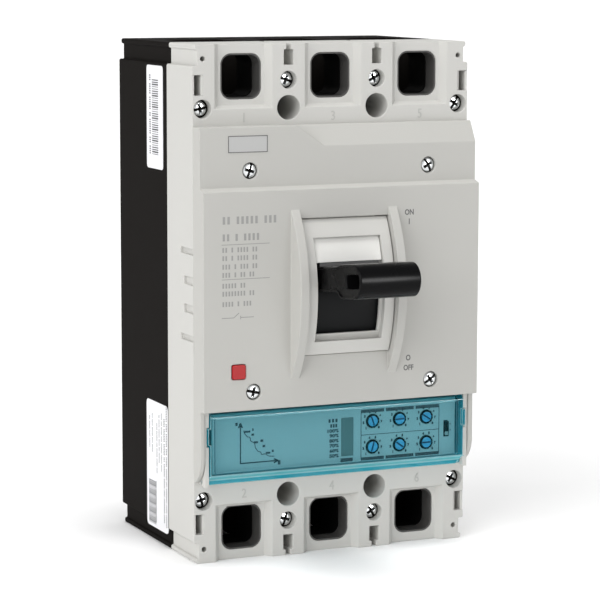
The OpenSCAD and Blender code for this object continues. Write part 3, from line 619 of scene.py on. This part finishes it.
slot_l, slot_h, slot_wall = 15.8, 6.8, 2
slot_u = tip_u - slot_wall - slot_l / 2
end_r, lip_w, lip_slope, sunk, slot_bevel = 0.9, 0.4, 0.1, 0.6, 0.5
bend = np.linspace(0, math.pi / 2, 7)
rows = [(half_w - end_r + end_r * math.sin(a), handle_outline(end_r * (1 - math.cos(a)))) for a in bend]
floor_x = half_w - sunk
rows += [(half_w, handle_outline(end_r + lip_w)), (floor_x, handle_outline(end_r + lip_w + lip_slope)),
         (floor_x, grip_slot(slot_bevel)), (floor_x - slot_bevel, grip_slot(0))]
rings = [from_pivot(x, flat) for x, flat in rows]
rings += [from_pivot(-x, flat) for x, flat in rows[::-1]]
handle = solid("handle", [np.stack(rings)], wrap=True, smooth=True)
dress(handle, "handle_lever", handle_black)
low_r, high_r, shoulder_half = 66.0, 70.9, half_w - 0.1
corners = np.array([[low_r, 5], [high_r, 5], [high_r - 0.2, 8.0], [high_r - 0.8, 8.15],
                    [low_r - 0.2, 7.59]]).T
ends = np.stack([from_pivot(side * shoulder_half, corners) for side in (-1, 1)])
shoulder = solid("handle_shoulder", [ends])
dress(shoulder, "handle_lever", handle_black)
dress(rounded("handle_shutter", 0.2), "handle_shutter", shutter_black)
dress(rounded("shutter_plate", 0.15), "shutter_plate", plate_white)

# Trip button
# The square red button is moulded in a glossier plastic and stands just proud of the face. A
# spring behind it pushes it back out.
button_red = moulded("button_red", (0.40, 0.012, 0.014), 0.35, mottle=0.04, shine=0.25)
dress(rounded("trip_button", 0.3, 3), "trip_button", button_red)

# Trip unit panel
# The panel behind the clear cover is moulded in a pale grey and carries the display, the
# dials and printed scales. Its walls at the sides look like the middle cover.
panel_grey = moulded("panel_grey", (0.72, 0.73, 0.73), 0.5, mottle=0.01)
panel = dress(rounded("trip_unit_panel", 0.25), "trip_unit_panel", panel_grey)
panel_d, panel_wall_x = 108.6, 69.6
more_finish(panel, cover_grey, lambda at: np.abs(at[:, 0]) > panel_wall_x)

# Panel print
# The panel's scales are screen-printed: a plain current and time curve at the left, a column
# of load figures beside the display, and a ruled box with dark bars around the dials.
panel_ink = moulded("panel_ink", (0.012, 0.03, 0.045), 0.5, mottle=0.08, relief=0.004)
load_x, load_h, load_z = 1.7, 1.9, (-65.8, -68.3, -70.9, -73.4, -76.0, -78.6)
figures = [(f"{100 - 10 * i}%", load_x, z, load_h, 1) for i, z in enumerate(load_z)]
attach(lettering("load_figures", figures, panel_d, bold=0.05, stretch=1.3), "housing", panel_ink)
dial_x, dial_z, dial_dx, dial_dz = 20.5, -62.3, 15.2, 13.2
ring_w, ring_h, figure_h = 5.1, 4.9, 1.45
ring_turn = np.radians(np.linspace(225, -45, 8))
figures = []
for number in range(6):
    x = dial_x + dial_dx * (number % 3)
    z = dial_z - dial_dz * (number // 3)
    for mark, turn in enumerate(ring_turn):
        place = x + ring_w * math.cos(turn), z + ring_h * math.sin(turn)
        figures.append((str(mark + 1), *place, figure_h, 0.5))
attach(lettering("dial_figures", figures, panel_d, bold=0.09, stretch=1.0), "housing", panel_ink)
box_left, box_right, box_top, box_mid, box_bottom = 14.1, 58.2, -57.0, -69.2, -81.5
rows = [
    (-51.9, -58.6, -51.9, -78.6, 0.65), (-52.1, -78.5, -32.0, -78.5, 0.65),
    (-52.9, -60.6, -51.9, -58.2, 0.75), (-50.9, -60.6, -51.9, -58.2, 0.75),
    (-33.9, -77.5, -31.6, -78.5, 0.75), (-33.9, -79.5, -31.6, -78.5, 0.75),
    (-50.1, -62.0, -49.6, -63.7, 0.5), (-49.6, -63.7, -48.2, -65.3, 0.4),
    (-48.2, -65.3, -46.8, -65.6, 0.4), (-46.8, -65.6, -46.4, -67.6, 0.4),
    (-46.4, -67.6, -44.3, -68.6, 0.4), (-44.3, -68.6, -43.9, -71.0, 0.4),
    (-43.9, -71.0, -42.6, -73.0, 0.4), (-42.6, -73.0, -41.0, -73.5, 0.4),
    (-41.0, -73.5, -40.6, -74.8, 0.4), (-40.6, -74.8, -38.6, -74.6, 0.4),
    (-38.6, -74.6, -36.6, -75.9, 0.4), (-36.6, -75.9, -33.6, -76.2, 0.4),
    (-49.6, -62.7, -46.6, -62.7, 1.0), (-45.6, -61.9, -44.8, -61.9, 1.2),
    (-46.0, -64.4, -44.6, -64.4, 1.1), (-44.8, -68.4, -42.4, -68.4, 1.0),
    (-41.2, -67.8, -39.6, -67.8, 1.2), (-40.0, -70.6, -38.6, -70.6, 1.2),
    (-38.2, -74.2, -35.8, -74.2, 1.0), (-35.0, -73.4, -34.0, -73.4, 1.2),
    (-54.6, -58.6, -53.4, -58.6, 1.6), (-31.0, -80.6, -31.0, -78.4, 1.4),
    (box_left, box_top, box_left, box_bottom, 0.35), (box_right, box_top, box_right, box_bottom, 0.35),
    (box_left, box_mid, box_right, box_mid, 0.3), (2.7, -81.2, 9.5, -81.2, 1.9),
    (60.9, -65.1, 63.2, -65.1, 0.7), (64.4, -67.0, 65.0, -67.0, 0.6),
    (64.4, -70.2, 65.0, -70.2, 0.6),
]
bar_h, bar_ends = 1.7, ((box_left, 27.0), (28.0, 43.7), (44.8, box_right))
rows += [(first, z, last, z, bar_h) for z in (box_top, box_bottom) for first, last in bar_ends]
rows += [(x, -61.5, x, -59.7, 1.15) for x in (-3.4, -1.5, 0.4)]
rows += [(x, -64.1, x, -62.3, 1.0) for x in (-2.5, -1.1, 0.3)]
attach(strokes("panel_print", rows, in_front, panel_d), "housing", panel_ink)

# Display and test socket
# A small dark display sits in the panel, and a moulded socket for a test plug with a pale
# shutter at its lower end.
display_dark = moulded("display_dark", (0.20, 0.25, 0.24), 0.3, mottle=0.02)
dress(rounded("display_window", 0.15), "display_window", display_dark)
dress(rounded("test_socket", 0.15), "test_socket", handle_black)
low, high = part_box("test_socket")
socket_x, socket_low, socket_d = (low.x + high.x) / 2 / MM, low.z / MM, -low.y / MM
flap_w, flap_up, flap_r, flap_rise = 1.9, 1.6, 0.3, 0.15
edge = rim(socket_x, socket_low + flap_up, flap_w, flap_w, flap_r)
shell = np.stack([in_front(edge, panel_d), in_front(edge, socket_d + flap_rise)])
attach(solid("socket_shutter", [shell]), "housing", cover_grey)

# Setting dials
# Each dial is a blue knob with a screwdriver slot, in a black toothed collar that turns with
# it in a hole in the panel.
dial_blue = moulded("dial_blue", (0.12, 0.58, 0.98), 0.3, mottle=0.03)
dial_shade = moulded("dial_shade", (0.015, 0.10, 0.24), 0.4, mottle=0.03)
dial_turns = (-70, 3, -33, 75, -35, 0)
disc_r, disc_rise, disc_edge, face_r, face_rings = 2.65, 0.7, 0.2, 2.3, 16
shade_d = 0.35
collar_r, collar_gap, collar_drop, tooth_d, bevel_w, bevel_h = 3.58, 0.03, 0.1, 0.3, 0.12, 0.15
ring_points = 72
dial_cut = (0.36, 2.4, 1.0)  # half width, half length and depth


def middle(node):
    """A CAD node's middle in x and z, then the depths of its front and its back, in mm."""
    low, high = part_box(node)
    return (low.x + high.x) / 2 / MM, (low.z + high.z) / 2 / MM, -low.y / MM, -high.y / MM


def turned(x, z, radii, depths):
    """Rings round the axis through (x, z) along Y, one for each radius, at the depths given."""
    turn = np.linspace(0, 2 * math.pi, ring_points, endpoint=False)
    radii = np.asarray(radii, float).reshape(len(radii), -1) + 0 * turn
    depths = np.asarray(depths, float).reshape(len(depths), -1) + 0 * turn
    return np.stack([x + radii * np.cos(turn), -depths, z + radii * np.sin(turn)], axis=-1)


def groove(radii, angle, half_wide, half_long, depth):
    """How deep a straight groove through the centre is, at each radius and turn.

    Its edges slope over the soft width: the distance from its line, and from its ends, is
    taken from the half width or half length, divided by the soft width and held to 0 to 1.
    """
    soft = 0.16
    turn = np.linspace(0, 2 * math.pi, ring_points, endpoint=False) - math.radians(angle)
    radii = np.asarray(radii, float)[:, None]
    aside = np.abs(radii * np.sin(turn))
    along = np.abs(radii * np.cos(turn))
    across = np.clip((half_wide - aside) / soft + 0.5, 0, 1)
    return depth * across * np.clip((half_long - along) / soft + 0.5, 0, 1)


for number, dial_turn in enumerate(dial_turns, 1):
    x, z, _, back = middle(f"dial_{number}")
    top = panel_d + disc_rise
    inset = disc_edge * np.array([0, 0.3, 1])
    radii = np.concatenate([[0, disc_r], disc_r - inset, np.linspace(face_r, 0, face_rings)])
    depths = np.concatenate([[back, back], top - inset[::-1], np.full(face_rings, top)])[:, None]
    depths = depths - groove(radii, dial_turn, *dial_cut) * (depths == top)
    disc = solid(f"dial_{number}_disc", [turned(x, z, radii, depths)], smooth=True)
    dress(disc, f"dial_{number}", dial_blue)
    more_finish(disc, dial_shade, lambda at: at[:, 1] > shade_d - top)
    teeth = collar_r - tooth_d * (np.arange(ring_points) % 6 < 2)
    inner = 0 * teeth + disc_r + collar_gap
    radii = np.stack([inner, teeth, teeth, teeth - bevel_w, inner])
    edge_d = top - collar_drop
    depths = [[back], [back], [edge_d - bevel_h], [edge_d], [edge_d]]
    collar = solid(f"dial_{number}_collar", [turned(x, z, radii, depths)], wrap=True)
    dress(collar, f"dial_{number}", handle_black)

# Clear cover
# The hinged cover is moulded from teal polycarbonate with a 1.8 mm wall. Light is tinted
# each time it crosses a face, so walls that stand edge-on have a deeper tint. A painted sheen
# lies on the walls behind its front and on its slanted lower wall, and its rounded edges carry
# a painted highlight in a brighter tint. Light passes through it to the panel, so it throws no
# shadow there.


def clear_plastic(name, through, body, painted_sheen):
    """Clear plastic: light passes with a tint, and a gloss in the body's colour lies over it.

    The gloss is 4 % where a face is seen straight on and rises with the fourth power of how
    far it is turned away, alike on both sides of the face. A painted sheen adds to it everywhere.
    """
    straight, aside, mottle = 0.035, 0.8, 0.01
    material, gloss, place = finish(name, Roughness=0.06)
    gloss.inputs["Base Color"].default_value = body + (1,)
    passes = place.node("BsdfTransparent", {"Color": through + (1,)})
    turned_away = place.node("LayerWeight", {"Blend": 0.5}, output=1)
    clouds = place.noise(9 * MM)
    # A painted sheen raises the gloss share by the same amount everywhere.
    share = turned_away ** 4 * aside + clouds * mottle + (straight + painted_sheen)
    both = place.node("MixShader", {0: share, 1: passes, 2: Wire(gloss.outputs[0])})
    out = material.node_tree.nodes["Material Output"]
    material.node_tree.links.new(both.socket, out.inputs["Surface"])
    return material


clear_teal = clear_plastic("clear_teal", (0.635, 0.812, 0.845), (0.03, 0.30, 0.37), 0.0)
deep_teal_painted_light = clear_plastic("deep_teal_painted_light", (0.36, 0.74, 0.78), (0.02, 0.22, 0.28), 0.12)
side_teal_painted_light = clear_plastic("side_teal_painted_light", (0.36, 0.76, 0.84), (0.01, 0.40, 0.52), 0.45)
sill_teal_painted_light = clear_plastic("sill_teal_painted_light", (0.72, 0.885, 0.925), (0.14, 0.60, 0.66), 0.42)
painted_highlight_teal = clear_plastic("painted_highlight_teal", (0.72, 0.885, 0.925), (0.45, 0.80, 0.86), 0.38)
border_teal = moulded("border_teal", (0.02, 0.14, 0.18), 0.3, mottle=0.05)
clear_cover = dress(rounded("trip_unit_cover", 0.3), "trip_unit_cover", clear_teal)
clear_cover.visible_shadow = False
pane_front, pane_back, behind = 113.5, 111.7, 0.2
side_x, deep_z, sill_z = 69.4, -84, -85
# Walls behind the front get a deeper tint with a painted sheen; the side walls and the slanted lower
# wall get a stronger painted sheen.
more_finish(clear_cover, deep_teal_painted_light,
            lambda at: (at[:, 1] > behind - pane_back) & (at[:, 2] > deep_z))
more_finish(clear_cover, side_teal_painted_light,
            lambda at: (np.abs(at[:, 0]) > side_x) & (at[:, 1] > behind - pane_front))
more_finish(clear_cover, sill_teal_painted_light,
            lambda at: (at[:, 1] > behind - pane_front) & (at[:, 2] < sill_z))
# The rounded edges get a brighter tint: a painted highlight.
clear_cover.data.materials.append(painted_highlight_teal)
clear_cover.modifiers["edge_rounding"].material = len(clear_cover.data.materials) - 1
border_z, border_w, border_h, border_r, border_line = -68.1, 133.6, 28.7, 1.5, 0.45
edge = rim(0, border_z, border_w, border_h, border_r)
border = np.concatenate([edge, np.roll(edge, -1, 0), np.full((len(edge), 1), border_line)], axis=1)
attach(strokes("cover_border", border, in_front, pane_back), "clear_cover", border_teal)
sill_top, sill_back, sill_drop, sill_half = -82.8, 8.1, 6, 70.6


def on_sill(flat, out):
    """Points (x, t) on the cover's slanted lower wall, t mm below its upper edge.

    The wall goes back as it drops. Out is along its normal, 0.6 forwards and 0.8 down.
    """
    x, down = flat[..., 0], flat[..., 1]
    depth = pane_front - down * sill_back / sill_drop + out * 0.6
    return np.stack([x, -depth, sill_top - down - out * 0.8], axis=-1)


# On the slanted wall, a deeper band is painted shade and two bright lines are painted highlights.
shade = [(-sill_half, 4.3, sill_half, 4.3, 2.2)]
gleams = [(-sill_half, 2.5, sill_half, 2.5, 0.4), (-sill_half, 0.5, sill_half, 0.5, 0.3)]
attach(strokes("sill_shade", shade, on_sill, 0, 0.03), "clear_cover", side_teal_painted_light)
attach(strokes("sill_gleam", gleams, on_sill, 0, 0.04), "clear_cover", painted_highlight_teal)

# Screws
# Zinc-plated pan-head screws with a slot and a cross hold the cover and the fascia. A black
# ring round each head at the bottom of its recess is painted shade in that crevice, and black
# strokes in the slot and the cross are painted shade in their hollows.


def plated(name, colour, roughness):
    """Plated metal: a metallic base with duller clouds, and a gloss that varies with them."""
    dull, gloss_swing = 0.8, 0.08
    material, shader, place = finish(name, Metallic=1.0)
    clouds = place.noise(3 * MM, 4)
    light = colour + (1,)
    dark = tuple(c * dull for c in colour) + (1,)
    feed(shader, "Base Color", clouds.between(dark, light))
    feed(shader, "Roughness", roughness - gloss_swing + clouds * (2 * gloss_swing))
    return material


zinc_steel = plated("zinc_steel", (0.80, 0.82, 0.83), 0.22)
head_r, head_h, shank_r, head_edge, head_bevel = 3.6, 2.8, 2.0, 0.05, 0.1
dome_h, dome_power, dome_rings = 1.1, 2.6, 30
slot_cut, cross_cut = (0.55, 4, 1.1), (0.6, 2.4, 1.5)  # half width, half length and depth
slot_reach, cross_reach, recess_shade_w, recess_shade_drop = 3.2, 2.2, 0.9, 1.15
recess_r = {"fascia": 4.1, "side": 4.6, "mid": 4.4}
shade_ring_h, shade_ring_gap = 1.3, 0.05
first_turn, next_turn, kind_turn = 20, 47, 31
shade_rings, recess_shade_strokes = [], {}
for kind in ("fascia", "side", "mid"):
    for number in range(1, 5):
        name = f"{kind}_screw_{number}"
        x, z, top, back = middle(name)
        bend = np.linspace(math.pi / 2, 0, dome_rings)
        dome_r = head_r * np.sin(bend)
        dome = top - dome_h + dome_h * np.sqrt(1 - (dome_r / head_r) ** dome_power)
        seat = top - head_h
        radii = np.concatenate([[0, shank_r, shank_r, head_r - head_edge, head_r], dome_r])
        flat = np.array([back, back, seat, seat, seat + head_bevel])
        turn = first_turn + next_turn * number + kind_turn * len(kind)
        cut = np.maximum(groove(dome_r, turn, *slot_cut), groove(dome_r, turn + 90, *cross_cut))
        # Black strokes along the slot and the cross lie on their floors: painted shade in these hollows.
        for swing, reach in ((turn, slot_reach), (turn + 90, cross_reach)):
            dx, dz = reach * math.cos(math.radians(swing)), reach * math.sin(math.radians(swing))
            recess_shade_strokes.setdefault(round(top - recess_shade_drop, 3), []).append(
                (x - dx, z - dz, x + dx, z + dz, recess_shade_w))
        depths = np.concatenate([flat[:, None] + 0 * cut[:5], dome[:, None] - cut])
        screw = solid(f"{name}_head", [turned(x, z, radii, depths)], smooth=True)
        dress(screw, name, zinc_steel)
        # A black ring fills the gap round the head at the recess floor: painted shade in the crevice.
        inner, outer = head_r + shade_ring_gap, recess_r[kind] - shade_ring_gap
        shade_rings.append(turned(x, z, [inner, outer, outer, inner],
                              [[seat], [seat], [seat + shade_ring_h], [seat + shade_ring_h]]))
for face, rows in sorted(recess_shade_strokes.items()):
    attach(strokes(f"screw_recess_{face:.0f}", rows, in_front, face), "housing", base_black)
attach(solid("screw_shade_rings", shade_rings, wrap=True, smooth=True), "housing", base_black)

# Terminals and handle pin
# The terminal bars are tin-plated copper, each with a hole for its bolt. The handle's pin is
# plain steel and stays hidden.
terminal_plated = plated("terminal_plated", (0.70, 0.68, 0.64), 0.35)
for number in range(1, 7):
    name = ("line" if number % 2 else "load") + f"_terminal_{number}"
    dress(rounded(name, 0.4), name, terminal_plated)
dress(rounded("handle_axle", 0.3), "handle_axle", zinc_steel)

# Floor
# A sheet of white paper with a faint mottle lies under the breaker and runs on past the view.
floor_reach = 30
sheet = bpy.data.meshes.new("floor")
corners = [(-1, -1), (1, -1), (1, 1), (-1, 1)]
sheet.from_pydata([(x * floor_reach, y * floor_reach, floor_z) for x, y in corners], [], [(0, 1, 2, 3)])
floor = added("floor", sheet)
paper, shader, place = finish("floor_paper", Roughness=0.9)
feed(shader, "Base Color", place.noise(60 * MM, 3).between((0.96, 0.96, 0.96, 1), (0.99, 0.99, 0.99, 1)))
sheet.materials.append(paper)
